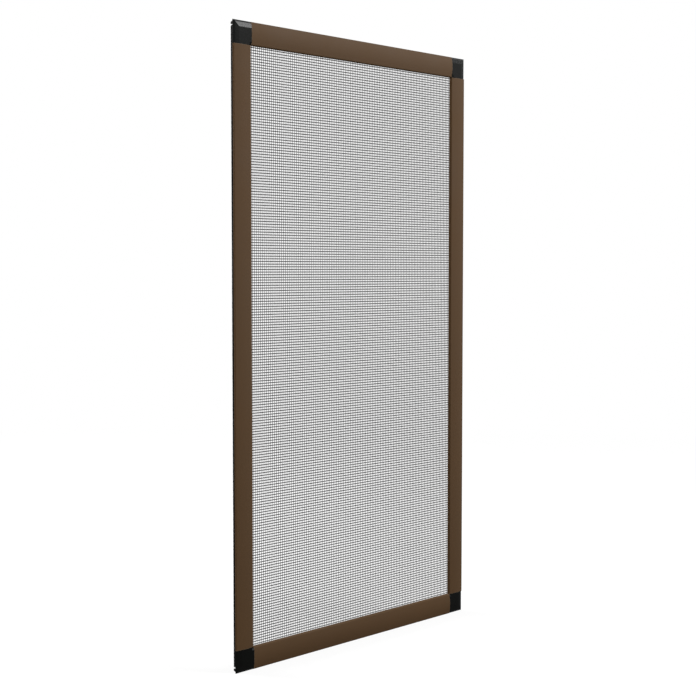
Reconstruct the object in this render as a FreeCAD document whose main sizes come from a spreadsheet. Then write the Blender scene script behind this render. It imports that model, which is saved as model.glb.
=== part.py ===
import FreeCAD, Part
import os
import re
import Sketcher

# Insect screen for a window: four extruded sides joined by moulded corners, with
# netting held in a rear groove by a spline and a pile seal around the outer rear edge.
# Every side section is drawn as u, inward from the outer edge, and depth, back from the crest.

SIZES = {
    "frame_width": 385.0,
    "frame_height": 700.0,
    "face_width": 25.0,
    "body_depth": 6.0,
    "crest_offset": 12.5,
    "edge_drop": 1.4,
    "outer_round": 1.2,
    "inner_round": 1.5,
    "edge_ease": 0.3,
    "lip_thickness": 1.5,
    "mesh_seat": 5.2,
    "groove_width": 3.4,
    "groove_floor": 2.6,
    "bead_height": 0.6,
    "bead_reach": 0.35,
    "rebate_width": 6.0,
    "rebate_floor": 3.3,
    "wall": 1.0,
    "front_wall": 1.5,
    "corner_front": 0.3,
    "corner_bevel": 6.9,
    "corner_rim": 2.1,
    "corner_shoulder": 1.0,
    "corner_edge": 2.6,
    "corner_fall": 3.4,
    "core_depth": 3.2,
    "tip_pad": 5.0,
    "tip_chamfer": 3.0,
    "tip_gap": 1.3,
    "leg_length": 38.0,
    "leg_clearance": 0.1,
    "leg_taper": 1.2,
    "leg_nose": 3.6,
    "tooth_height": 0.5,
    "tooth_length": 3.0,
    "tooth_pitch": 7.5,
    "tooth_count": 4.0,
    "mesh_thickness": 0.5,
    "mesh_border": 0.8,
    "strand_width": 1.6,
    "strand_ridge": 0.2,
    "warp_count": 7.0,
    "weft_count": 14.0,
    "backing_thickness": 0.7,
    "seal_clearance": 0.2,
    "pile_width": 3.8,
    "pile_crown": 0.6,
    "pile_proud": 0.5,
}

# Lines of the section that follow from the sizes above.
CROWN_RADIUS = "((crest_offset * crest_offset + edge_drop * edge_drop) / (2 * edge_drop))"
INNER_DROP = f"({CROWN_RADIUS} - sqrt({CROWN_RADIUS} ^ 2 - (face_width - crest_offset) ^ 2))"
GROOVE_INNER = "(face_width - lip_thickness)"
GROOVE_OUTER = f"({GROOVE_INNER} - groove_width)"
CHAMBER_OUTER = "(rebate_width + wall)"
CHAMBER_INNER = f"({GROOVE_OUTER} - wall)"
CHAMBER_BACK = "(body_depth - wall)"
FRONT = "(-(body_depth + pile_proud) / 2)"
BACK = f"({FRONT} + body_depth)"
SIDES = {"left": 0, "top": 90, "right": 180, "bottom": 270}
# Shares of a corner's inner fall that each of its steps reaches and drops.
INNER_STEPS = ((0.56, 0.3), (0.44, 0.7))

doc = FreeCAD.newDocument("window_screen_frame")
sheet = doc.addObject("Spreadsheet::Sheet", "sizes")
for row, (alias, size) in enumerate(SIZES.items(), start=1):
    sheet.set(f"A{row}", alias)
    sheet.set(f"B{row}", str(size))
    sheet.setAlias(f"B{row}", alias)
doc.recompute()


def cells(formula):
    """The formula with each plain word turned into a reference to the sheet."""
    return re.sub(r"\b([a-z]\w*)\b(?!\()", r"sizes.\1", formula)


def size_of(formula):
    value = sheet.evalExpression(cells(formula))
    return float(getattr(value, "Value", value))


def bind(thing, **formulas):
    for name, formula in formulas.items():
        thing.setExpression(name, cells(formula))


def new_body(name):
    body = doc.addObject("PartDesign::Body", name)
    body.Label = name
    return body


def origin_part(body, role):
    return next(part for part in body.Origin.OriginFeatures if part.Role == role)


def new_sketch(body, plane="XY_Plane", height=None):
    """A sketch on one of the body's own planes, raised along its normal."""
    sketch = body.newObject("Sketcher::SketchObject", "sketch")
    sketch.AttachmentSupport = [(origin_part(body, plane), "")]
    sketch.MapMode = "FlatFace"
    if height is not None:
        sketch.setExpression("AttachmentOffset.Base.z", cells(height))
    return sketch


def pin(sketch, line, end, point):
    """Hold one end of a line at a place given by two formulas."""
    across, up = point
    for kind, axis, formula in (("DistanceX", -2, across), ("DistanceY", -1, up)):
        if formula == "0":
            sketch.addConstraint(Sketcher.Constraint("PointOnObject", line, end, axis))
            continue
        index = sketch.addConstraint(Sketcher.Constraint(kind, -1, 1, line, end, size_of(formula)))
        sketch.setExpression(f"Constraints[{index}]", cells(formula))


def draw_loop(sketch, points):
    """A closed outline of straight lines through the given places."""
    at = [FreeCAD.Vector(size_of(across), size_of(up), 0) for across, up in points]
    first = sketch.GeometryCount
    for index, start in enumerate(at):
        sketch.addGeometry(Part.LineSegment(start, at[(index + 1) % len(at)]), False)
    for index, point in enumerate(points):
        line = first + index
        following = first + (index + 1) % len(points)
        sketch.addConstraint(Sketcher.Constraint("Coincident", line, 2, following, 1))
        pin(sketch, line, 1, point)


def draw_rectangle(sketch, left, low, right, high):
    draw_loop(sketch, [(left, low), (right, low), (right, high), (left, high)])


def draw_ring(sketch, outer, inner):
    """A rectangular ring, each edge given by its inset from the frame's outer edges."""
    for inset in (outer, inner):
        draw_rectangle(sketch, inset, inset, f"frame_width - {inset}", f"frame_height - {inset}")


def pad(body, sketch, length):
    feature = body.newObject("PartDesign::Pad", "pad")
    feature.Profile = sketch
    bind(feature, Length=length)
    sketch.Visibility = False
    return feature


def pocket_up(body, sketch, depth):
    """Cut from the rear face toward the front."""
    feature = body.newObject("PartDesign::Pocket", "pocket")
    feature.Profile = sketch
    feature.Reversed = True
    bind(feature, Length=depth)
    sketch.Visibility = False
    return feature


def pocket_through(body, sketch):
    feature = body.newObject("PartDesign::Pocket", "pocket")
    feature.Profile = sketch
    feature.Type = "ThroughAll"
    feature.SideType = "Symmetric"
    sketch.Visibility = False
    return feature


def repeat(body, feature, axis, spacing, count):
    pattern = body.newObject("PartDesign::LinearPattern", "repeat")
    pattern.Originals = [feature]
    pattern.Direction = (origin_part(body, axis), [""])
    pattern.Mode = "Spacing"
    bind(pattern, Offset=spacing, Occurrences=count)
    body.Tip = pattern
    return pattern


def lines_along(shape, places):
    """Names of the lengthwise edges of an extrusion at the given section places."""
    names = []
    for index, edge in enumerate(shape.Edges, start=1):
        ends = [vertex.Point for vertex in edge.Vertexes]
        if len(ends) != 2 or abs(ends[0].z - ends[1].z) < 1.0:
            continue
        for across, depth in places:
            if abs(ends[0].x - size_of(across)) < 0.01 and abs(ends[0].y - size_of(depth)) < 0.01:
                names.append(f"Edge{index}")
    return names


def round_edges(body, feature, places, radius):
    doc.recompute()
    fillet = body.newObject("PartDesign::Fillet", "rounding")
    fillet.Base = (feature, lines_along(feature.Shape, places))
    bind(fillet, Radius=radius)


def place_side(body, side, start):
    """Turn a section about the frame's depth axis and start it a way along its side."""
    body.Placement.Rotation = FreeCAD.Rotation(FreeCAD.Vector(0, 1, 0), SIDES[side])
    across = {
        "left": "-frame_width / 2",
        "top": f"-frame_width / 2 + {start}",
        "right": "frame_width / 2",
        "bottom": f"frame_width / 2 - {start}",
    }
    up = {
        "left": start,
        "top": "frame_height",
        "right": f"frame_height - {start}",
        "bottom": "0 * frame_height",
    }
    body.setExpression("Placement.Base.x", cells(across[side]))
    body.setExpression("Placement.Base.y", cells(FRONT))
    body.setExpression("Placement.Base.z", cells(up[side]))


def side_length(side, start):
    whole = "frame_height" if side in ("left", "right") else "frame_width"
    return f"{whole} - 2 * {start}"


def make_extrusion(name, side):
    """Hollow side: a crowned face, a seal rebate, a chamber for the corner's leg and a spline groove."""
    body = new_body(name)
    sketch = new_sketch(body)
    radius = size_of(CROWN_RADIUS)
    crest = size_of("crest_offset")
    outer = FreeCAD.Vector(0, size_of("edge_drop"), 0)
    middle = FreeCAD.Vector(crest, 0, 0)
    inner = FreeCAD.Vector(size_of("face_width"), size_of(INNER_DROP), 0)
    crown = sketch.addGeometry(Part.Arc(outer, middle, inner), False)
    at_outer = 1 if sketch.getPoint(crown, 1).x < crest else 2
    at_inner = 3 - at_outer
    for kind, formula in (("DistanceX", "crest_offset"), ("DistanceY", CROWN_RADIUS)):
        index = sketch.addConstraint(Sketcher.Constraint(kind, -1, 1, crown, 3, size_of(formula)))
        sketch.setExpression(f"Constraints[{index}]", cells(formula))
    index = sketch.addConstraint(Sketcher.Constraint("Radius", crown, radius))
    sketch.setExpression(f"Constraints[{index}]", cells(CROWN_RADIUS))
    sketch.addConstraint(Sketcher.Constraint("PointOnObject", crown, at_outer, -2))
    index = sketch.addConstraint(Sketcher.Constraint("DistanceX", -1, 1, crown, at_inner, inner.x))
    sketch.setExpression(f"Constraints[{index}]", cells("face_width"))

    bead_start = "(body_depth - bead_height)"
    corners = [
        ("face_width", "mesh_seat"),
        (GROOVE_INNER, "mesh_seat"),
        (GROOVE_INNER, "groove_floor"),
        (GROOVE_OUTER, "groove_floor"),
        (GROOVE_OUTER, bead_start),
        (f"{GROOVE_OUTER} + bead_reach", bead_start),
        (f"{GROOVE_OUTER} + bead_reach", "body_depth"),
        ("rebate_width", "body_depth"),
        ("rebate_width", "rebate_floor"),
        ("0", "rebate_floor"),
    ]
    at = [inner]
    at += [FreeCAD.Vector(size_of(across), size_of(depth), 0) for across, depth in corners]
    at += [outer]
    first = sketch.GeometryCount
    for start, end in zip(at, at[1:]):
        sketch.addGeometry(Part.LineSegment(start, end), False)
    sketch.addConstraint(Sketcher.Constraint("Coincident", crown, at_inner, first, 1))
    for index, corner in enumerate(corners):
        sketch.addConstraint(Sketcher.Constraint("Coincident", first + index, 2, first + index + 1, 1))
        pin(sketch, first + index, 2, corner)
    sketch.addConstraint(Sketcher.Constraint("Coincident", first + len(corners), 2, crown, at_outer))
    draw_rectangle(sketch, CHAMBER_OUTER, "front_wall", CHAMBER_INNER, CHAMBER_BACK)

    feature = pad(body, sketch, side_length(side, "face_width"))
    round_edges(body, feature, [("0", "edge_drop")], "outer_round")
    round_edges(body, body.Tip, [("face_width", INNER_DROP)], "inner_round")
    eased = [
        ("face_width", "mesh_seat"),
        (GROOVE_INNER, "mesh_seat"),
        ("0", "rebate_floor"),
        ("rebate_width", "body_depth"),
    ]
    round_edges(body, body.Tip, eased, "edge_ease")
    place_side(body, side, "face_width")
    return body


def make_spline(name, side):
    """Round cord lying in the groove on the netting."""
    start = f"({GROOVE_OUTER} + mesh_thickness)"
    if side in ("top", "bottom"):
        start = f"({GROOVE_INNER} - mesh_thickness)"
    radius = "(groove_width / 2 - mesh_thickness)"
    body = new_body(name)
    sketch = new_sketch(body)
    across = f"{GROOVE_OUTER} + groove_width / 2"
    depth = f"groove_floor + mesh_thickness + {radius}"
    centre = FreeCAD.Vector(size_of(across), size_of(depth), 0)
    sketch.addGeometry(Part.Circle(centre, FreeCAD.Vector(0, 0, 1), size_of(radius)), False)
    pin(sketch, 0, 3, (across, depth))
    index = sketch.addConstraint(Sketcher.Constraint("Radius", 0, size_of(radius)))
    sketch.setExpression(f"Constraints[{index}]", cells(radius))
    pad(body, sketch, side_length(side, start))
    place_side(body, side, start)
    return body


def make_seal(name, side):
    """Pile strip on a flat backing, standing a little proud of the rear face."""
    start = "(tip_pad + tip_gap)"
    body = new_body(name)
    sketch = new_sketch(body)
    pile_foot = "(rebate_floor + backing_thickness)"
    pile_top = "(body_depth + pile_proud)"
    near = "2 * seal_clearance"
    far = "2 * seal_clearance + pile_width"
    draw_loop(sketch, [
        ("seal_clearance", "rebate_floor"),
        ("rebate_width - seal_clearance", "rebate_floor"),
        ("rebate_width - seal_clearance", pile_foot),
        (far, pile_foot),
        (far, f"{pile_top} - pile_crown"),
        (f"{far} - pile_crown", pile_top),
        (f"{near} + pile_crown", pile_top),
        (near, f"{pile_top} - pile_crown"),
        (near, pile_foot),
        ("seal_clearance", pile_foot),
    ])
    pad(body, sketch, side_length(side, start))
    place_side(body, side, start)
    return body


def stand_up(body, turn, across, up):
    """Turn a piece drawn flat on its back so that its height above the back points forward."""
    upright = FreeCAD.Rotation(FreeCAD.Vector(1, 0, 0), 90)
    body.Placement.Rotation = FreeCAD.Rotation(FreeCAD.Vector(0, 1, 0), turn).multiply(upright)
    body.setExpression("Placement.Base.x", cells(across))
    body.setExpression("Placement.Base.y", cells(BACK))
    body.setExpression("Placement.Base.z", cells(up))


def make_corner(name, turn, across, up):
    """Moulded block with a mitred front bevel and two toothed legs."""
    body = new_body(name)
    top = "(body_depth - corner_front)"

    sketch = new_sketch(body)
    draw_rectangle(sketch, "0", "0", "face_width", "face_width")
    pad(body, sketch, top)

    for plane in ("XZ_Plane", "YZ_Plane"):
        sketch = new_sketch(body, plane)
        draw_loop(sketch, [
            ("0", "body_depth - corner_edge"),
            ("corner_rim", "body_depth - corner_shoulder"),
            ("corner_bevel", top),
            ("0", top),
        ])
        pocket_through(body, sketch)

    # Seal rebate along the two outer edges, leaving a chamfered pad at the tip.
    sketch = new_sketch(body)
    draw_loop(sketch, [
        ("tip_pad", "0"),
        ("face_width", "0"),
        ("face_width", "rebate_width"),
        ("rebate_width", "rebate_width"),
        ("rebate_width", "face_width"),
        ("0", "face_width"),
        ("0", "tip_pad"),
        ("tip_pad", "tip_pad"),
    ])
    pocket_up(body, sketch, "body_depth - rebate_floor")
    sketch = new_sketch(body)
    draw_loop(sketch, [("0", "0"), ("tip_chamfer", "0"), ("0", "tip_chamfer")])
    pocket_up(body, sketch, "body_depth - rebate_floor")

    # Spline groove turning the corner, and the seat of the netting on the inner lip.
    sketch = new_sketch(body)
    draw_loop(sketch, [
        (GROOVE_OUTER, GROOVE_OUTER),
        ("face_width", GROOVE_OUTER),
        ("face_width", GROOVE_INNER),
        (GROOVE_INNER, GROOVE_INNER),
        (GROOVE_INNER, "face_width"),
        (GROOVE_OUTER, "face_width"),
    ])
    pocket_up(body, sketch, "body_depth - groove_floor")
    sketch = new_sketch(body)
    draw_rectangle(sketch, GROOVE_INNER, GROOVE_INNER, "face_width", "face_width")
    pocket_up(body, sketch, "body_depth - mesh_seat")

    # The inner corner falls away in two mitred steps.
    inset = "(face_width - corner_fall)"
    surface = top
    for reach, drop in INNER_STEPS:
        sketch = new_sketch(body, height=surface)
        far = f"({inset} + 3 * corner_fall)"
        draw_rectangle(sketch, inset, inset, far, far)
        step = body.newObject("PartDesign::Pocket", "inner_fall")
        step.Profile = sketch
        sketch.Visibility = False
        bind(step, Length=f"corner_fall * {drop}", TaperAngle=f"-atan({reach} / {drop})")
        inset = f"({inset} + corner_fall * {reach})"
        surface = f"({surface} - corner_fall * {drop})"

    # Four cored pockets behind the block.
    core = f"({CHAMBER_INNER} - {CHAMBER_OUTER} - wall) / 2"
    spans = [
        (CHAMBER_OUTER, f"({CHAMBER_OUTER} + {core})"),
        (f"({CHAMBER_INNER} - {core})", CHAMBER_INNER),
    ]
    sketch = new_sketch(body)
    for left, right in spans:
        for near, far in spans:
            draw_rectangle(sketch, left, near, right, far)
    pocket_up(body, sketch, "core_depth")

    # Legs that fill the chambers, each with a row of teeth on both sides.
    low = "wall + leg_clearance"
    thickness = f"{CHAMBER_BACK} - front_wall - 2 * leg_clearance"
    side_low = f"({CHAMBER_OUTER} + leg_clearance + tooth_height)"
    side_high = f"({CHAMBER_INNER} - leg_clearance - tooth_height)"
    root = "(face_width - wall)"
    end = "(face_width + leg_length)"
    neck = f"({end} - leg_nose)"
    outline = [
        (root, side_low),
        (neck, side_low),
        (end, f"{side_low} + leg_taper"),
        (end, f"{side_high} - leg_taper"),
        (neck, side_high),
        (root, side_high),
    ]
    sketch = new_sketch(body, height=low)
    draw_loop(sketch, outline)
    draw_loop(sketch, [(second, first) for first, second in outline])
    pad(body, sketch, thickness)

    tooth = "(face_width + tooth_pitch / 2)"
    tooth_end = f"({tooth} + tooth_length)"
    teeth = [
        [(tooth, side_low), (tooth, f"{side_low} - tooth_height"), (tooth_end, side_low)],
        [(tooth, side_high), (tooth, f"{side_high} + tooth_height"), (tooth_end, side_high)],
    ]
    for axis in ("X_Axis", "Y_Axis"):
        sketch = new_sketch(body, height=low)
        for points in teeth:
            ordered = points if axis == "X_Axis" else [(second, first) for first, second in points]
            draw_loop(sketch, ordered)
        row_of_teeth = pad(body, sketch, thickness)
        repeat(body, row_of_teeth, axis, "tooth_pitch", "tooth_count")

    stand_up(body, turn, across, up)
    return body


def make_mesh(name):
    """Netting: an open lattice whose edge is tucked around the groove under the spline."""
    body = new_body(name)
    seat = "(body_depth - mesh_seat)"
    floor = "(body_depth - groove_floor)"
    middle = f"({seat} - mesh_thickness / 2)"
    fold = f"({GROOVE_INNER} - mesh_thickness)"

    sketch = new_sketch(body, height=f"{seat} - mesh_thickness")
    draw_ring(sketch, fold, "(face_width + mesh_border)")
    pad(body, sketch, "mesh_thickness")
    sketch = new_sketch(body, height=f"{seat} - mesh_thickness")
    draw_ring(sketch, fold, GROOVE_INNER)
    pad(body, sketch, f"{floor} - {seat} + mesh_thickness")
    sketch = new_sketch(body, height=f"{floor} - mesh_thickness")
    draw_ring(sketch, GROOVE_OUTER, GROOVE_INNER)
    pad(body, sketch, "mesh_thickness")
    sketch = new_sketch(body, height="2 * bead_height")
    draw_ring(sketch, GROOVE_OUTER, f"({GROOVE_OUTER} + mesh_thickness)")
    pad(body, sketch, f"{floor} - 2 * bead_height")

    across = "(frame_width - 2 * face_width) / (warp_count + 1)"
    along = "(frame_height - 2 * face_width) / (weft_count + 1)"
    half = "strand_width / 2"
    thickness = "mesh_thickness * 3 / 4 + strand_ridge"
    sketch = new_sketch(body, height=f"{middle} - mesh_thickness / 4")
    first = f"face_width + {across}"
    low, high = "face_width", "frame_height - face_width"
    draw_rectangle(sketch, f"{first} - {half}", low, f"{first} + {half}", high)
    warp = pad(body, sketch, thickness)
    repeat(body, warp, "X_Axis", across, "warp_count")
    sketch = new_sketch(body, height=f"{middle} - mesh_thickness / 2 - strand_ridge")
    first = f"face_width + {along}"
    draw_rectangle(sketch, "face_width", f"{first} - {half}", "frame_width - face_width", f"{first} + {half}")
    weft = pad(body, sketch, thickness)
    repeat(body, weft, "Y_Axis", along, "weft_count")

    stand_up(body, 0, "-frame_width / 2", "0 * frame_height")
    return body


pieces = [
    make_extrusion("left_stile", "left"),
    make_extrusion("top_rail", "top"),
    make_extrusion("right_stile", "right"),
    make_extrusion("bottom_rail", "bottom"),
    make_corner("corner_bottom_left", 0, "-frame_width / 2", "0 * frame_height"),
    make_corner("corner_top_left", 90, "-frame_width / 2", "frame_height"),
    make_corner("corner_top_right", 180, "frame_width / 2", "frame_height"),
    make_corner("corner_bottom_right", 270, "frame_width / 2", "0 * frame_height"),
    make_mesh("insect_mesh"),
]
for side in SIDES:
    pieces.append(make_spline(f"spline_{side}", side))
    pieces.append(make_seal(f"pile_seal_{side}", side))
doc.recompute()

for thing in doc.Objects:
    if "Invalid" in thing.State or "Error" in thing.State:
        raise RuntimeError(f"{thing.Label} didn't build: {thing.State}")
for body in pieces:
    if body.Shape.isNull() or not body.Shape.isValid() or len(body.Shape.Solids) != 1:
        raise RuntimeError(f"{body.Label} isn't one sound solid")

os.makedirs("parts", exist_ok=True)
for body in pieces:
    body.Shape.exportStep(f"parts/{body.Label}.step")
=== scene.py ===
"""Looks of a window insect screen: coated sides, moulded corners, woven netting, cords and pile seals."""

import math
import random

import bmesh
import bpy
from bpy.props import FloatProperty, FloatVectorProperty, IntProperty, PointerProperty
from mathutils import Matrix, Vector


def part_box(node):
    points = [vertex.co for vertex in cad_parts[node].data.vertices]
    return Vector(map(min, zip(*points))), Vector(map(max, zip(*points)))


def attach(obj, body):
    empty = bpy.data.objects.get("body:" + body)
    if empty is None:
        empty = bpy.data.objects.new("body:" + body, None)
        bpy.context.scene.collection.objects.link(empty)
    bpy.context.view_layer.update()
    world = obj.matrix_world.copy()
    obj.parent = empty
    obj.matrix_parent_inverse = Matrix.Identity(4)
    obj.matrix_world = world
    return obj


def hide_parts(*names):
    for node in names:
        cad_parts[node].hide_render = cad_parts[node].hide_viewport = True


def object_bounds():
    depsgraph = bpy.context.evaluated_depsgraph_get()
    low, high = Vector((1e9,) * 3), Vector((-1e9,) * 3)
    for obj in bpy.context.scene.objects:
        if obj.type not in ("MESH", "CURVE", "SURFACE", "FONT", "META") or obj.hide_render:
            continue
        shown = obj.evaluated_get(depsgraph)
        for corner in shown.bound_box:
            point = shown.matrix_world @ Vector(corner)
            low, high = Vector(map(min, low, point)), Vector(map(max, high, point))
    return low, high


bl_info = {
    "name": "Window Insect Screen",
    "version": (1, 0, 0),
    "blender": (4, 5, 0),
    "location": "3D View > Sidebar > Insect Screen",
    "description": "Dresses a window insect screen with netting, cords, seals and finishes",
    "category": "Object",
}

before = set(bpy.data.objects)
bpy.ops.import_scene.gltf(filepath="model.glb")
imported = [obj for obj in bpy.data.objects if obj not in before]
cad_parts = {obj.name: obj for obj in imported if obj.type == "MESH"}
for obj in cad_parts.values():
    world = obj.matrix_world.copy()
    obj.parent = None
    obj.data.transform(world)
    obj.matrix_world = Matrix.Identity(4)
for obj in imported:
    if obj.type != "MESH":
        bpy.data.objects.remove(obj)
CAD_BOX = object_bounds()

BODY = "root"
STILES = ("left_stile", "right_stile")
RAILS = ("top_rail", "bottom_rail")
CORNERS = ("corner_bottom_left", "corner_top_left", "corner_top_right", "corner_bottom_right")
# Each side, with its turn in degrees from the left one.
SIDES = {"left": 0, "top": 90, "right": 180, "bottom": 270}

# Colours of what lies on a finish or shows through it.
COAT_DUST = (0.35, 0.31, 0.26, 1.0)
WORN_COAT = (0.2, 0.18, 0.15, 1.0)
CORNER_DUST = (0.2, 0.2, 0.19, 1.0)
CORD_BLOOM = (0.18, 0.18, 0.18, 1.0)
PILE_LINT = (0.25, 0.24, 0.22, 1.0)

# Draw lines of an extrusion: their scale along it as a share of that across it, how strongly
# they show, the shade they show in, and their height as a share of the coat's peel.
DRAW_STRETCH = 0.02
DRAW_STRENGTH = 0.35
DRAW_SHADE = 1.12
DRAW_HEIGHT = 0.7
# Roughness that a full speck of dust adds to the coat.
DUST_ROUGHNESS = 0.5
# Share of the wear's reach in which a cut end is fully rubbed.
RUBBED_SHARE = 0.3
# Shade of the raised fibres of the yarn, and gloss of the yarn, the cord and the pile.
TWIST_SHADE = 1.6
YARN_GLOSS = 0.3
CORD_GLOSS = 0.3
PILE_GLOSS = 0.06

# Sides of a strand of the netting and of a cord.
STRAND_SIDES = 3
CORD_SIDES = 12
# A point this far past a fold of the netting counts as beyond it.
FOLD_MARGIN = 0.0004
# Room between the tucked netting and the edge of its solid.
EDGE_ROOM = 0.00005

# Start of the pile's chance, and sides of a tuft.
PILE_SEED = 11
TUFT_SIDES = 5
# Room between the pile and the outer edge of its backing.
PILE_INSET = 0.0001
# A tuft's radius at its foot and tip, and its tip's sway across and along, in gaps between tufts.
TUFT_FOOT = 0.62
TUFT_TIP = 0.52
TUFT_LEAN = 0.12
TUFT_STRAY = 0.25
# Where a tuft's tip starts and how far it may drop, in shares of its height.
TIP_ZONE = 0.9
TUFT_DROP = 0.09
# The dense heart of the pile, in shares of the pile.
HEART_WIDTH = 0.96
HEART_HEIGHT = 0.88
HEART_LENGTH = 0.999
# Eased edge of a strip, as a share of the backing's thickness.
STRIP_EASE = 0.2

# The floor's half width, the distances between which it fades to white, how much of it is
# mirrored close by, and the width of the camera's film in millimetres.
FLOOR_REACH = 40.0
FADE_START = 1.0
FADE_END = 2.2
NEAR_MIRROR = 0.15
FILM_WIDTH = 36.0


# Shader building


def add_node(tree, kind, sockets=None, **settings):
    """A node whose named sockets are linked or set."""
    node = tree.nodes.new(kind)
    for name, value in settings.items():
        setattr(node, name, value)
    for name, value in (sockets or {}).items():
        put(tree, node.inputs[name], value)
    return node


def put(tree, socket, value):
    """Links a socket to another one, or sets it to a plain value."""
    if isinstance(value, bpy.types.NodeSocket):
        tree.links.new(value, socket)
    else:
        socket.default_value = value


def math_node(tree, operation, first, second):
    return add_node(tree, "ShaderNodeMath", {0: first, 1: second}, operation=operation).outputs[0]


def remap(tree, value, low, high, start=0.0, end=1.0):
    """The value's range from start to end, stretched to run from low to high and held there."""
    sockets = {"Value": value, "From Min": start, "From Max": end, "To Min": low, "To Max": high}
    return add_node(tree, "ShaderNodeMapRange", sockets).outputs["Result"]


def mix_colour(tree, factor, first, second):
    """A mix of two colours. Its sockets go by number, because its other kinds share their names."""
    return add_node(tree, "ShaderNodeMix", {0: factor, 6: first, 7: second}, data_type="RGBA").outputs[2]


def new_group(name, inputs, outputs):
    """An empty shader node group with its sockets, and its two end nodes."""
    group = bpy.data.node_groups.new(name, "ShaderNodeTree")
    for label, kind, value in inputs:
        group.interface.new_socket(label, in_out="INPUT", socket_type=kind).default_value = value
    for label, kind in outputs:
        group.interface.new_socket(label, in_out="OUTPUT", socket_type=kind)
    return group, group.nodes.new("NodeGroupInput"), group.nodes.new("NodeGroupOutput")


def grain_group():
    """Fine surface grain as a height, and slow patches as a mask."""
    if "Surface Grain" in bpy.data.node_groups:
        return bpy.data.node_groups["Surface Grain"]
    group, given, made = new_group(
        "Surface Grain",
        [
            ("Grain Scale", "NodeSocketFloat", 900.0),
            ("Patch Scale", "NodeSocketFloat", 20.0),
            ("Stretch", "NodeSocketVector", (1.0, 1.0, 1.0)),
        ],
        [("Height", "NodeSocketFloat"), ("Patches", "NodeSocketFloat")],
    )
    place = add_node(group, "ShaderNodeTexCoord").outputs["Object"]
    sockets = {0: place, 1: given.outputs["Stretch"]}
    drawn_out = add_node(group, "ShaderNodeVectorMath", sockets, operation="MULTIPLY").outputs[0]
    sockets = {"Vector": drawn_out, "Scale": given.outputs["Grain Scale"], "Detail": 3.0, "Roughness": 0.55}
    fine = add_node(group, "ShaderNodeTexNoise", sockets).outputs["Fac"]
    sockets = {"Vector": drawn_out, "Scale": given.outputs["Patch Scale"], "Detail": 4.0, "Roughness": 0.6}
    slow = add_node(group, "ShaderNodeTexNoise", sockets).outputs["Fac"]
    group.links.new(fine, made.inputs["Height"])
    group.links.new(remap(group, slow, low=0.0, high=1.0, start=0.3, end=0.7), made.inputs["Patches"])
    return group


def speck_group():
    """Scattered dust specks as a mask."""
    if "Dust Specks" in bpy.data.node_groups:
        return bpy.data.node_groups["Dust Specks"]
    group, given, made = new_group(
        "Dust Specks",
        [("Scale", "NodeSocketFloat", 300.0), ("Size", "NodeSocketFloat", 0.08)],
        [("Mask", "NodeSocketFloat")],
    )
    place = add_node(group, "ShaderNodeTexCoord").outputs["Object"]
    sockets = {"Vector": place, "Scale": given.outputs["Scale"]}
    far = add_node(group, "ShaderNodeTexVoronoi", sockets).outputs["Distance"]
    near = math_node(group, "SUBTRACT", 1.0, math_node(group, "DIVIDE", far, given.outputs["Size"]))
    sockets = {"Vector": place, "Scale": 35.0, "Detail": 2.0}
    drift = add_node(group, "ShaderNodeTexNoise", sockets).outputs["Fac"]
    spread = remap(group, drift, low=0.0, high=1.0, start=0.5, end=0.7)
    mask = math_node(group, "MULTIPLY", remap(group, near, low=0.0, high=1.0), spread)
    group.links.new(mask, made.inputs["Mask"])
    return group


def new_finish(name):
    """A material with its node tree and its shader."""
    material = bpy.data.materials.new(name)
    material.use_nodes = True
    return material, material.node_tree, material.node_tree.nodes["Principled BSDF"]


def use_group(tree, group, sockets):
    """The outputs of a group placed in a material with its own values."""
    return add_node(tree, "ShaderNodeGroup", sockets, node_tree=group).outputs


def use_grain(tree, grain, patch, stretch=(1.0, 1.0, 1.0)):
    """The height and the patches of the surface grain, at these scales."""
    made = use_group(tree, grain_group(), {"Grain Scale": grain, "Patch Scale": patch, "Stretch": stretch})
    return made["Height"], made["Patches"]


def dust(tree, colour, tint, scale, size, strength):
    """The colour with specks of a tint scattered over it, and the specks' mask."""
    mask = use_group(tree, speck_group(), {"Scale": scale, "Size": size})["Mask"]
    specks = math_node(tree, "MULTIPLY", mask, strength)
    return mix_colour(tree, specks, colour, tint), specks


def bump(tree, height, distance, strength):
    """A normal raised by a height."""
    sockets = {"Height": height, "Distance": distance, "Strength": strength}
    return add_node(tree, "ShaderNodeBump", sockets).outputs["Normal"]


def feed(tree, shader, **sockets):
    """Links or sets the shader's sockets, named with underscores for spaces."""
    for name, value in sockets.items():
        put(tree, shader.inputs[name.replace("_", " ")], value)


def shade(colour, amount):
    """The colour made lighter or darker by a factor."""
    return (colour[0] * amount, colour[1] * amount, colour[2] * amount, 1.0)


def mottle(tree, mask, colour, dark, light):
    """The colour varied by a mask between two shades of itself."""
    return mix_colour(tree, mask, shade(colour, dark), shade(colour, light))


def end_mask(tree, axis, low, high, reach):
    """One at both ends of a length along an axis, fading out over a reach."""
    place = add_node(tree, "ShaderNodeTexCoord").outputs["Object"]
    along = add_node(tree, "ShaderNodeSeparateXYZ", {0: place}).outputs[axis]
    from_low = math_node(tree, "SUBTRACT", along, low)
    from_high = math_node(tree, "SUBTRACT", high, along)
    near = math_node(tree, "MINIMUM", from_low, from_high)
    return remap(tree, near, low=1.0, high=0.0, start=reach * RUBBED_SHARE, end=reach)


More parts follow.
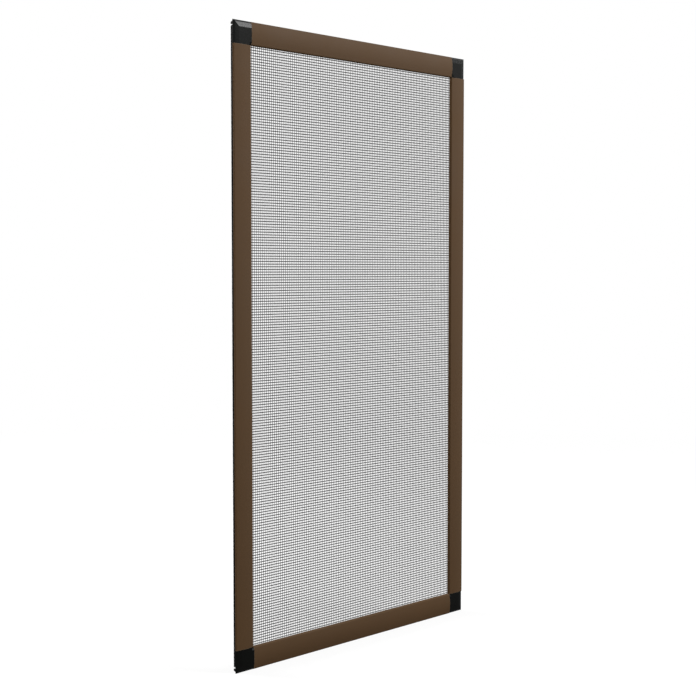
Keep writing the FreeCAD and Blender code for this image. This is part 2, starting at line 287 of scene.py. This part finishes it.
def coat_finish(name, settings, stretch, axis, ends):
    """Baked satin coat on drawn metal: fine peel, faint draw lines, a few specks, worn cut ends."""
    material, tree, shader = new_finish(name)
    peel, patches = use_grain(tree, grain=settings.peel_scale, patch=14.0)
    drawn, streaks = use_grain(tree, grain=260.0, patch=40.0, stretch=stretch)
    colour = mottle(tree, patches, settings.colour, dark=0.94, light=1.06)
    faint = math_node(tree, "MULTIPLY", streaks, DRAW_STRENGTH)
    colour = mix_colour(tree, faint, colour, shade(settings.colour, DRAW_SHADE))
    colour, specks = dust(tree, colour, COAT_DUST, scale=240.0, size=0.09, strength=0.18)
    rubbed = end_mask(tree, axis, *ends, settings.wear)
    patchy = remap(tree, peel, low=0.0, high=0.6, start=0.4, end=0.6)
    colour = mix_colour(tree, math_node(tree, "MULTIPLY", rubbed, patchy), colour, WORN_COAT)
    rough = remap(tree, patches, low=settings.roughness - 0.04, high=settings.roughness + 0.05)
    rough = math_node(tree, "ADD", rough, math_node(tree, "MULTIPLY", specks, DUST_ROUGHNESS))
    height = math_node(tree, "ADD", peel, math_node(tree, "MULTIPLY", drawn, DRAW_HEIGHT))
    normal = bump(tree, height, distance=0.00006, strength=0.8)
    feed(tree, shader, Base_Color=colour, Roughness=rough, Normal=normal, Specular_IOR_Level=settings.gloss)
    return material


def plastic_finish(settings):
    """Black moulded plastic with a spark eroded surface."""
    material, tree, shader = new_finish("moulded_black")
    fine, patches = use_grain(tree, grain=1600.0, patch=60.0)
    colour = mottle(tree, patches, settings.colour, dark=0.8, light=1.25)
    colour = dust(tree, colour, CORNER_DUST, scale=420.0, size=0.1, strength=0.12)[0]
    dull, smooth = settings.roughness + 0.06, settings.roughness - 0.05
    rough = remap(tree, fine, low=smooth, high=dull, start=0.3, end=0.7)
    normal = bump(tree, fine, distance=0.00003, strength=0.5)
    feed(tree, shader, Base_Color=colour, Roughness=rough, Normal=normal, Specular_IOR_Level=settings.gloss)
    return material


def yarn_finish(settings):
    """Coated glass yarn: dark, slightly glossy, with a fine twist."""
    material, tree, shader = new_finish("netting_yarn")
    twist, patches = use_grain(tree, grain=2600.0, patch=45.0)
    colour = mottle(tree, patches, settings.colour, dark=0.8, light=1.2)
    raised = remap(tree, twist, low=0.0, high=0.3, start=0.45, end=0.75)
    colour = mix_colour(tree, raised, colour, shade(settings.colour, TWIST_SHADE))
    rough = remap(tree, twist, low=0.42, high=0.6, start=0.3, end=0.7)
    normal = bump(tree, twist, distance=0.00003, strength=0.6)
    feed(tree, shader, Base_Color=colour, Roughness=rough, Normal=normal, Specular_IOR_Level=YARN_GLOSS)
    return material


def cord_finish(settings):
    """Soft black cord with a dull skin and chalky ribs."""
    material, tree, shader = new_finish("spline_skin")
    fine, patches = use_grain(tree, grain=1200.0, patch=80.0)
    colour = mottle(tree, patches, settings.colour, dark=0.85, light=1.3)
    colour = dust(tree, colour, CORD_BLOOM, scale=600.0, size=0.2, strength=0.15)[0]
    rough = remap(tree, fine, low=0.55, high=0.72, start=0.3, end=0.7)
    normal = bump(tree, fine, distance=0.00004, strength=0.6)
    feed(tree, shader, Base_Color=colour, Roughness=rough, Normal=normal, Specular_IOR_Level=CORD_GLOSS)
    return material


def pile_finish(settings):
    """Black brushed pile whose fibres run out from the backing."""
    material, tree, shader = new_finish("seal_pile")
    fibre, patches = use_grain(tree, grain=1500.0, patch=120.0, stretch=(1.0, 0.12, 1.0))
    colour = mottle(tree, fibre, settings.colour, dark=0.4, light=1.7)
    colour = dust(tree, colour, PILE_LINT, scale=350.0, size=0.12, strength=0.1)[0]
    rough = remap(tree, patches, low=0.75, high=0.95)
    normal = bump(tree, fibre, distance=0.0001, strength=0.8)
    feed(tree, shader, Base_Color=colour, Roughness=rough, Normal=normal, Specular_IOR_Level=PILE_GLOSS)
    return material


def dress(node, finish):
    """Gives a CAD node its finish."""
    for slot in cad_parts[node].material_slots:
        slot.material = finish


# Mesh building


def repeat(bm, step, count):
    """Copies everything in the mesh until there are count of it, a step apart."""
    single = [len(bm.verts), len(bm.edges), len(bm.faces)]
    made = 1
    while made < count:
        more = min(made, count - made)
        geometry = []
        for items, size in zip((bm.verts, bm.edges, bm.faces), single):
            items.ensure_lookup_table()
            geometry += items[: size * more]
        copy = bmesh.ops.duplicate(bm, geom=geometry)["geom"]
        moved = [item for item in copy if isinstance(item, bmesh.types.BMVert)]
        bmesh.ops.translate(bm, vec=Vector(step) * made, verts=moved)
        made += more


def run_out(bm, sides, width, thickness, start, runs):
    """A closed strand along Z: a ring pushed out in runs of steps of one length."""
    ring = bmesh.ops.create_circle(bm, segments=sides, radius=0.5)["verts"]
    across = max(v.co.x for v in ring) - min(v.co.x for v in ring)
    deep = max(v.co.y for v in ring) - min(v.co.y for v in ring)
    middle = (max(v.co.y for v in ring) + min(v.co.y for v in ring)) / 2
    bmesh.ops.translate(bm, vec=(0.0, -middle, start), verts=ring)
    bmesh.ops.scale(bm, vec=(width / across, thickness / deep, 1.0), verts=ring)
    last = bm.verts[:] + bm.edges[:]
    for step, count in runs:
        out = bmesh.ops.spin(
            bm, geom=last, cent=(0, 0, 0), axis=(0, 0, 1), dvec=(0, 0, step),
            angle=0.0, steps=count, use_duplicate=False,
        )
        last = out["geom_last"]
    bmesh.ops.holes_fill(bm, edges=[edge for edge in bm.edges if edge.is_boundary], sides=sides)


def turn(bm, degrees, axis, centre=(0.0, 0.0, 0.0), verts=None):
    """Turns the given points about an axis, or all of them."""
    matrix = Matrix.Rotation(math.radians(degrees), 3, axis)
    bmesh.ops.rotate(bm, cent=centre, matrix=matrix, verts=verts or bm.verts[:])


def shift(bm, vec):
    """Moves the whole mesh."""
    bmesh.ops.translate(bm, vec=vec, verts=bm.verts[:])


def add_piece(name, bm, finish, node):
    """Makes a finished piece of the mesh, in place of one CAD node."""
    bmesh.ops.recalc_face_normals(bm, faces=bm.faces[:])
    for face in bm.faces:
        face.smooth = True
    mesh = bpy.data.meshes.new(name)
    bm.to_mesh(mesh)
    bm.free()
    mesh.materials.append(finish)
    piece = bpy.data.objects.new(name, mesh)
    bpy.context.scene.collection.objects.link(piece)
    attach(piece, BODY)
    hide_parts(node)
    return piece


def tuck(bm, fold, runs):
    """Folds both ends of flat strands down the groove's wall, along its floor and up again."""
    for side in (1, -1):
        reach = fold + sum(runs[:2])
        for run, degrees in ((runs[1], 90), (runs[0], 90), (0.0, -90)):
            beyond = [v for v in bm.verts if v.co.z * side > reach + FOLD_MARGIN]
            turn(bm, -degrees * side, "X", (0.0, 0.0, reach * side), beyond)
            reach -= run


def weave(settings, width, columns, rows, pitch_across, pitch_along, sign):
    """One set of strands of the netting, along Z, over and under the other set."""
    fold = pitch_along * (rows - 1) / 2
    runs = (settings.wall_run, settings.floor_run, settings.rise_run)
    bm = bmesh.new()
    steps = [(run, 1) for run in reversed(runs)] + [(pitch_along, rows - 1)] + [(run, 1) for run in runs]
    run_out(bm, STRAND_SIDES, width, settings.strand_thickness, -fold - sum(runs), steps)
    repeat(bm, (pitch_across, 0.0, 0.0), columns)
    left = -pitch_across * (columns - 1) / 2
    shift(bm, (left, 0.0, 0.0))
    over, under = [], []
    for v in bm.verts:
        if abs(v.co.z) > fold + FOLD_MARGIN:
            continue
        column = round((v.co.x - left) / pitch_across)
        row = round((v.co.z + fold) / pitch_along)
        (over if (column + row) % 2 else under).append(v)
    lift = sign * settings.strand_thickness * settings.crimp
    bmesh.ops.translate(bm, vec=(0.0, -lift, 0.0), verts=over)
    bmesh.ops.translate(bm, vec=(0.0, lift, 0.0), verts=under)
    tuck(bm, fold, runs)
    return bm


# What a user may change


class CoatSettings(bpy.types.PropertyGroup):
    """Finish of the four sides"""

    colour: FloatVectorProperty(
        name="Coat", description="Colour of the baked coat",
        subtype="COLOR", size=3, default=(0.0838, 0.0438, 0.0167), min=0.0, max=1.0,
    )
    roughness: FloatProperty(
        name="Roughness", description="How dull the coat is",
        subtype="FACTOR", default=0.7, min=0.1, max=0.9,
    )
    gloss: FloatProperty(
        name="Gloss", description="Strength of the coat's reflection",
        subtype="FACTOR", default=0.25, min=0.0, max=1.0,
    )
    peel_scale: FloatProperty(
        name="Peel", description="Bumps of the coat's fine peel in a metre",
        default=900.0, min=100.0, max=4000.0,
    )
    wear: FloatProperty(
        name="Wear", description="Reach of the rubbed coat at the cut ends",
        unit="LENGTH", default=0.0004, min=0.0,
    )


class PlasticSettings(bpy.types.PropertyGroup):
    """Finish of the four corners"""

    colour: FloatVectorProperty(
        name="Plastic", description="Colour of the moulded corners",
        subtype="COLOR", size=3, default=(0.0032, 0.0036, 0.003), min=0.0, max=1.0,
    )
    roughness: FloatProperty(
        name="Roughness", description="How dull the plastic is",
        subtype="FACTOR", default=0.22, min=0.1, max=0.9,
    )
    gloss: FloatProperty(
        name="Gloss", description="Strength of the plastic's reflection",
        subtype="FACTOR", default=0.12, min=0.0, max=1.0,
    )


class NettingSettings(bpy.types.PropertyGroup):
    """Weave of the netting"""

    columns: IntProperty(
        name="Columns", description="Upright strands between the grooves",
        default=118, min=10, max=160,
    )
    rows: IntProperty(
        name="Rows", description="Level strands between the grooves",
        default=227, min=10, max=300,
    )
    upright_width: FloatProperty(
        name="Upright Width", description="Width of an upright strand",
        unit="LENGTH", default=0.00075, min=0.0002, max=0.002,
    )
    level_width: FloatProperty(
        name="Level Width", description="Width of a level strand",
        unit="LENGTH", default=0.00103, min=0.0002, max=0.002,
    )
    strand_thickness: FloatProperty(
        name="Strand Thickness", description="Thickness of a strand",
        unit="LENGTH", default=0.0004, min=0.0001, max=0.001,
    )
    crimp: FloatProperty(
        name="Crimp", description="Rise of a strand over another, in strand thicknesses",
        default=0.4, min=0.0, max=1.0,
    )
    depth: FloatProperty(
        name="Depth", description="Distance of the netting's middle behind the middle of the frame",
        unit="LENGTH", default=0.0023,
    )
    wall_run: FloatProperty(
        name="Wall Run", description="Netting down the groove's wall",
        unit="LENGTH", default=0.0027,
    )
    floor_run: FloatProperty(
        name="Floor Run", description="Netting along the groove's floor",
        unit="LENGTH", default=0.0029,
    )
    rise_run: FloatProperty(
        name="Rise Run", description="Netting up the groove's far wall",
        unit="LENGTH", default=0.0019,
    )
    colour: FloatVectorProperty(
        name="Yarn", description="Colour of the coated yarn",
        subtype="COLOR", size=3, default=(0.032, 0.032, 0.032), min=0.0, max=1.0,
    )


class CordSettings(bpy.types.PropertyGroup):
    """Cord that holds the netting"""

    rib_pitch: FloatProperty(
        name="Rib Pitch", description="Distance between two ribs",
        unit="LENGTH", default=0.0015, min=0.0005, max=0.01,
    )
    rib_depth: FloatProperty(
        name="Rib Depth", description="Share of the radius that is left between two ribs",
        subtype="FACTOR", default=0.78, min=0.5, max=1.0,
    )
    colour: FloatVectorProperty(
        name="Cord", description="Colour of the cord",
        subtype="COLOR", size=3, default=(0.016, 0.016, 0.016), min=0.0, max=1.0,
    )


class SealSettings(bpy.types.PropertyGroup):
    """Pile seal along the outer rear edge"""

    backing: FloatProperty(
        name="Backing", description="Thickness of the backing strip",
        unit="LENGTH", default=0.0007,
    )
    pile_width: FloatProperty(
        name="Pile Width", description="Width of the pile",
        unit="LENGTH", default=0.0038,
    )
    tuft_pitch: FloatProperty(
        name="Tuft Pitch", description="Distance between two rows of tufts",
        unit="LENGTH", default=0.0009, min=0.0004,
    )
    tufts: IntProperty(
        name="Tufts", description="Tufts across the pile",
        default=5, min=2, max=9,
    )
    colour: FloatVectorProperty(
        name="Pile", description="Colour of the pile",
        subtype="COLOR", size=3, default=(0.0045, 0.0045, 0.0045), min=0.0, max=1.0,
    )


class StageSettings(bpy.types.PropertyGroup):
    """Camera, light and floor"""

    camera: FloatVectorProperty(
        name="Camera", description="Place of the camera",
        subtype="TRANSLATION", size=3, default=(-1.1521, -1.0893, 0.4367),
    )
    yaw: FloatProperty(
        name="Yaw", description="Turn of the camera from +Y to +X",
        subtype="ANGLE", default=math.radians(46.19),
    )
    pitch: FloatProperty(
        name="Pitch", description="Tilt of the camera",
        subtype="ANGLE", default=math.radians(-3.31),
    )
    lens: FloatProperty(
        name="Lens", description="Focal length",
        subtype="DISTANCE_CAMERA", default=70.24,
    )
    key_power: FloatProperty(
        name="Key", description="Power of the softbox",
        subtype="POWER", default=72.0,
    )
    key_size: FloatProperty(
        name="Key Size", description="Side of the softbox",
        unit="LENGTH", default=1.2,
    )
    key_place: FloatVectorProperty(
        name="Key Place", description="Place of the softbox",
        subtype="TRANSLATION", size=3, default=(1.44, -1.80, 2.10),
    )
    rear_power: FloatProperty(
        name="Rear", description="Power of the lamp behind the screen",
        subtype="POWER", default=70.0,
    )
    rear_size: FloatProperty(
        name="Rear Size", description="Side of the lamp behind the screen",
        unit="LENGTH", default=1.6,
    )
    rear_place: FloatVectorProperty(
        name="Rear Place", description="Place of the lamp behind the screen",
        subtype="TRANSLATION", size=3, default=(-0.9, 2.4, 1.9),
    )
    side_power: FloatProperty(
        name="Side", description="Power of the lamp beside the screen",
        subtype="POWER", default=13.0,
    )
    side_size: FloatProperty(
        name="Side Size", description="Side of the lamp beside the screen",
        unit="LENGTH", default=0.9,
    )
    side_place: FloatVectorProperty(
        name="Side Place", description="Place of the lamp beside the screen",
        subtype="TRANSLATION", size=3, default=(-2.0, -0.5, 0.8),
    )
    fill: FloatProperty(
        name="Fill", description="Strength of the room's light",
        default=0.3,
    )
    floor_colour: FloatVectorProperty(
        name="Floor", description="Colour of the floor",
        subtype="COLOR", size=3, default=(0.1, 0.1, 0.1), min=0.0, max=1.0,
    )
    glow: FloatProperty(
        name="Glow", description="Level of the floor in full shadow",
        subtype="FACTOR", default=0.82,
    )
    shadow: FloatProperty(
        name="Shadow", description="Depth of the shadow on the floor",
        subtype="FACTOR", default=0.2,
    )


class ScreenSettings(bpy.types.PropertyGroup):
    """All the settings of the insect screen"""

    coat: PointerProperty(type=CoatSettings)
    plastic: PointerProperty(type=PlasticSettings)
    netting: PointerProperty(type=NettingSettings)
    cord: PointerProperty(type=CordSettings)
    seal: PointerProperty(type=SealSettings)
    stage: PointerProperty(type=StageSettings)


# Operators


class SCREEN_OT_coat_sides(bpy.types.Operator):
    """Give the two stiles and two rails their baked coat"""

    bl_idname = "insect_screen.coat_sides"
    bl_label = "Coat Sides"

    def execute(self, context):
        settings = context.scene.insect_screen.coat
        low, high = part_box(STILES[0])
        upright = coat_finish("baked_coat_upright", settings, (1.0, 1.0, DRAW_STRETCH), "Z", (low.z, high.z))
        low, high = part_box(RAILS[0])
        level = coat_finish("baked_coat_level", settings, (DRAW_STRETCH, 1.0, 1.0), "X", (low.x, high.x))
        for node in STILES:
            dress(node, upright)
        for node in RAILS:
            dress(node, level)
        return {"FINISHED"}


class SCREEN_OT_mould_corners(bpy.types.Operator):
    """Give the four corners their moulded plastic"""

    bl_idname = "insect_screen.mould_corners"
    bl_label = "Mould Corners"

    def execute(self, context):
        finish = plastic_finish(context.scene.insect_screen.plastic)
        for node in CORNERS:
            dress(node, finish)
        return {"FINISHED"}


class SCREEN_OT_weave_netting(bpy.types.Operator):
    """Weave the netting and tuck its edges into the groove"""

    bl_idname = "insect_screen.weave_netting"
    bl_label = "Weave Netting"

    def execute(self, context):
        settings = context.scene.insect_screen.netting
        low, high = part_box("insect_mesh")
        tucked = settings.floor_run + settings.strand_thickness / 2 + EDGE_ROOM
        half_width = (high.x - low.x) / 2 - tucked
        half_height = (high.z - low.z) / 2 - tucked
        across = 2 * half_width / (settings.columns - 1)
        along = 2 * half_height / (settings.rows - 1)
        middle = ((low.x + high.x) / 2, settings.depth, (low.z + high.z) / 2)
        finish = yarn_finish(settings)

        upright = weave(
            settings, settings.upright_width, settings.columns, settings.rows, across, along, sign=1,
        )
        shift(upright, middle)
        warp = add_piece("netting_upright_strands", upright, finish, "insect_mesh")
        level = weave(
            settings, settings.level_width, settings.rows, settings.columns, along, across, sign=-1,
        )
        turn(level, 90, "Y")
        shift(level, middle)
        weft = add_piece("netting_level_strands", level, finish, "insect_mesh")

        return {"FINISHED"}


class SCREEN_OT_press_cords(bpy.types.Operator):
    """Press a ribbed cord into the groove on each side"""

    bl_idname = "insect_screen.press_cords"
    bl_label = "Press Cords"

    def execute(self, context):
        settings = context.scene.insect_screen.cord
        finish = cord_finish(settings)
        for side, degrees in SIDES.items():
            node = f"spline_{side}"
            low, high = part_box(node)
            size = high - low
            length = max(size.x, size.z)
            steps = 2 * round(length / settings.rib_pitch)
            bm = bmesh.new()
            run_out(bm, CORD_SIDES, size.y, size.y, -length / 2, [(length / steps, steps)])
            hollow = [v for v in bm.verts if round((v.co.z + length / 2) * steps / length) % 2]
            bmesh.ops.scale(bm, vec=(settings.rib_depth, settings.rib_depth, 1.0), verts=hollow)
            turn(bm, degrees, "Y")
            shift(bm, (low + high) / 2)
            add_piece(f"ribbed_cord_{side}", bm, finish, node)
        return {"FINISHED"}


class SCREEN_OT_fit_seals(bpy.types.Operator):
    """Fit a tufted pile seal along each outer rear edge"""

    bl_idname = "insect_screen.fit_seals"
    bl_label = "Fit Seals"

    def execute(self, context):
        settings = context.scene.insect_screen.seal
        finish = pile_finish(settings)
        chance = random.Random(PILE_SEED)
        for side, degrees in SIDES.items():
            node = f"pile_seal_{side}"
            low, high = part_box(node)
            size = high - low
            length, width = max(size.x, size.z), min(size.x, size.z)
            bm = bmesh.new()
            self.plant_pile(bm, settings, width, size.y, length, chance)
            self.lay_backing(bm, settings, width, size.y, length)
            turn(bm, degrees, "Y")
            shift(bm, (low + high) / 2)
            add_piece(f"brushed_seal_{side}", bm, finish, node)
        return {"FINISHED"}

    def plant_pile(self, bm, settings, width, depth, length, chance):
        """Rows of leaning tufts, each one a tapered prism with its foot in the backing."""
        foot = settings.backing / 2 - depth / 2
        tall = depth / 2 - foot
        gap = settings.pile_width / settings.tufts
        pitch = settings.tuft_pitch
        rows = int(length / pitch)
        for tuft in range(settings.tufts):
            across = gap * (tuft + 0.5) - width / 2 + PILE_INSET
            place = (across, foot + tall / 2, pitch * (tuft % 2) / 2)
            bmesh.ops.create_cone(
                bm, cap_ends=True, cap_tris=False, segments=TUFT_SIDES,
                radius1=gap * TUFT_FOOT, radius2=gap * TUFT_TIP, depth=tall,
                matrix=Matrix.Translation(place) @ Matrix.Rotation(math.radians(-90), 4, "X"),
            )
        repeat(bm, (0.0, 0.0, pitch), rows)
        shift(bm, (0.0, 0.0, -pitch * (rows - 0.5) / 2))
        tips = [v for v in bm.verts if v.co.y > foot + tall * TIP_ZONE]
        for v in tips:
            v.co.x = max(v.co.x + chance.uniform(-TUFT_LEAN, TUFT_LEAN) * gap, -width / 2)
            v.co.y -= chance.uniform(0.0, TUFT_DROP) * tall
            v.co.z += chance.uniform(-TUFT_STRAY, TUFT_STRAY) * gap

    def lay_backing(self, bm, settings, width, depth, length):
        """The flat strip that the tufts stand on, and the dense heart of the pile."""
        tall = depth - settings.backing
        across = PILE_INSET + (settings.pile_width - width) / 2
        deep = settings.backing / 2 - tall * (1.0 - HEART_HEIGHT) / 2
        heart = (settings.pile_width * HEART_WIDTH, tall * HEART_HEIGHT, length * HEART_LENGTH)
        for place, size in (
            ((0.0, (settings.backing - depth) / 2, 0.0), (width, settings.backing, length)),
            ((across, deep, 0.0), heart),
        ):
            matrix = Matrix.Translation(place) @ Matrix.Diagonal((*size, 1.0))
            strip = bmesh.ops.create_cube(bm, size=1.0, matrix=matrix)["verts"]
            edges = list({edge for v in strip for edge in v.link_edges})
            bmesh.ops.bevel(
                bm, geom=edges, offset=settings.backing * STRIP_EASE, offset_type="OFFSET",
                affect="EDGES", segments=2, profile=0.5, material=-1,
            )


class SCREEN_OT_set_stage(bpy.types.Operator):
    """Set the floor, the light and the camera"""

    bl_idname = "insect_screen.set_stage"
    bl_label = "Set Stage"

    def execute(self, context):
        settings = context.scene.insect_screen.stage
        self.lay_floor(settings)
        self.light_room(settings)
        self.place_camera(context, settings)
        context.scene.view_settings.view_transform = "Standard"
        return {"FINISHED"}

    def seen(self, tree, mirrored):
        """One where the background is looked at, and as much as is mirrored in a reflection."""
        path = tree.nodes.new("ShaderNodeLightPath").outputs
        gloss = math_node(tree, "MULTIPLY", path["Is Glossy Ray"], mirrored)
        direct = math_node(tree, "MAXIMUM", path["Is Camera Ray"], gloss)
        return math_node(tree, "MAXIMUM", direct, path["Is Transmission Ray"])

    def lay_floor(self, settings):
        """A wide flat floor under the screen."""
        bm = bmesh.new()
        bmesh.ops.create_grid(bm, x_segments=4, y_segments=4, size=FLOOR_REACH)
        mesh = bpy.data.meshes.new("floor")
        bm.to_mesh(mesh)
        bm.free()
        floor = bpy.data.objects.new("floor", mesh)
        bpy.context.scene.collection.objects.link(floor)
        mesh.materials.append(self.floor_finish(settings))

    def floor_finish(self, settings):
        """Pale floor that throws back little light, and is white with a soft shadow where it is looked at."""
        material, tree, shader = new_finish("pale_floor")
        height, patches = use_grain(tree, grain=30.0, patch=0.8)
        colour = mottle(tree, patches, settings.floor_colour, dark=0.97, light=1.0)
        rough = remap(tree, height, low=0.85, high=0.95)
        feed(tree, shader, Base_Color=colour, Roughness=rough, Specular_IOR_Level=0.0)
        tint = shade((settings.shadow, settings.shadow, settings.shadow), 1.0)
        lit = add_node(tree, "ShaderNodeBsdfDiffuse", {"Color": tint}).outputs[0]
        glow = add_node(tree, "ShaderNodeEmission", {"Strength": settings.glow}).outputs[0]
        near = add_node(tree, "ShaderNodeAddShader", {0: lit, 1: glow}).outputs[0]
        white = add_node(tree, "ShaderNodeEmission", {"Strength": 1.0}).outputs[0]
        place = add_node(tree, "ShaderNodeTexCoord").outputs["Object"]
        away = add_node(tree, "ShaderNodeVectorMath", {0: place}, operation="LENGTH").outputs["Value"]
        fade = remap(tree, away, low=0.0, high=1.0, start=FADE_START, end=FADE_END)
        looked_at = add_node(tree, "ShaderNodeMixShader", {0: fade, 1: near, 2: white}).outputs[0]
        seen = self.seen(tree, remap(tree, fade, low=NEAR_MIRROR, high=1.0))
        sockets = {0: seen, 1: shader.outputs[0], 2: looked_at}
        choice = add_node(tree, "ShaderNodeMixShader", sockets).outputs[0]
        tree.links.new(choice, tree.nodes["Material Output"].inputs["Surface"])
        return material

    def light_room(self, settings):
        """Even light from the room, and lamps in front of, behind and beside the screen."""
        world = bpy.data.worlds.new("pale_room")
        bpy.context.scene.world = world
        world.use_nodes = True
        tree = world.node_tree
        strength = remap(tree, self.seen(tree, 1.0), low=settings.fill, high=1.0)
        feed(tree, tree.nodes["Background"], Color=(1.0, 1.0, 1.0, 1.0), Strength=strength)
        self.hang_lamp("softbox", settings.key_place, settings.key_size, settings.key_power)
        self.hang_lamp("rear_softbox", settings.rear_place, settings.rear_size, settings.rear_power)
        side = self.hang_lamp("side_softbox", settings.side_place, settings.side_size, settings.side_power)
        side.visible_glossy = False

    def hang_lamp(self, name, place, size, power):
        """A square lamp that faces the middle of the screen."""
        light = bpy.data.lights.new(name, "AREA")
        light.shape = "SQUARE"
        light.size = size
        light.energy = power
        lamp = bpy.data.objects.new(name, light)
        bpy.context.scene.collection.objects.link(lamp)
        lamp.location = place
        low, high = CAD_BOX
        aim = (low + high) / 2 - Vector(place)
        lamp.rotation_euler = aim.to_track_quat("-Z", "Y").to_euler()
        return lamp

    def place_camera(self, context, settings):
        """The camera, turned by its yaw and tilted by its pitch."""
        data = bpy.data.cameras.new("viewpoint")
        data.sensor_width = FILM_WIDTH
        data.lens = settings.lens
        data.clip_start = 0.01
        data.clip_end = 200.0
        camera = bpy.data.objects.new("viewpoint", data)
        context.scene.collection.objects.link(camera)
        camera.location = settings.camera
        camera.rotation_euler = (math.radians(90) + settings.pitch, 0.0, -settings.yaw)
        context.scene.camera = camera


class SCREEN_PT_sidebar(bpy.types.Panel):
    """Lists the steps that dress the insect screen"""

    bl_label = "Insect Screen"
    bl_idname = "SCREEN_PT_sidebar"
    bl_space_type = "VIEW_3D"
    bl_region_type = "UI"
    bl_category = "Insect Screen"

    def draw(self, context):
        settings = context.scene.insect_screen
        for part, step in STEPS:
            box = self.layout.box()
            group = getattr(settings, part)
            for name in group.__annotations__:
                box.prop(group, name)
            box.operator(step.bl_idname)


STEPS = (
    ("coat", SCREEN_OT_coat_sides),
    ("plastic", SCREEN_OT_mould_corners),
    ("netting", SCREEN_OT_weave_netting),
    ("cord", SCREEN_OT_press_cords),
    ("seal", SCREEN_OT_fit_seals),
    ("stage", SCREEN_OT_set_stage),
)
CLASSES = (
    CoatSettings,
    PlasticSettings,
    NettingSettings,
    CordSettings,
    SealSettings,
    StageSettings,
    ScreenSettings,
    *(step for part, step in STEPS),
    SCREEN_PT_sidebar,
)


def register():
    for item in CLASSES:
        bpy.utils.register_class(item)
    bpy.types.Scene.insect_screen = PointerProperty(type=ScreenSettings)


def unregister():
    del bpy.types.Scene.insect_screen
    for item in reversed(CLASSES):
        bpy.utils.unregister_class(item)


def main():
    register()
    bpy.ops.insect_screen.coat_sides()
    bpy.ops.insect_screen.mould_corners()
    bpy.ops.insect_screen.weave_netting()
    bpy.ops.insect_screen.press_cords()
    bpy.ops.insect_screen.fit_seals()
    bpy.ops.insect_screen.set_stage()


if __name__ == "__main__":
    main()
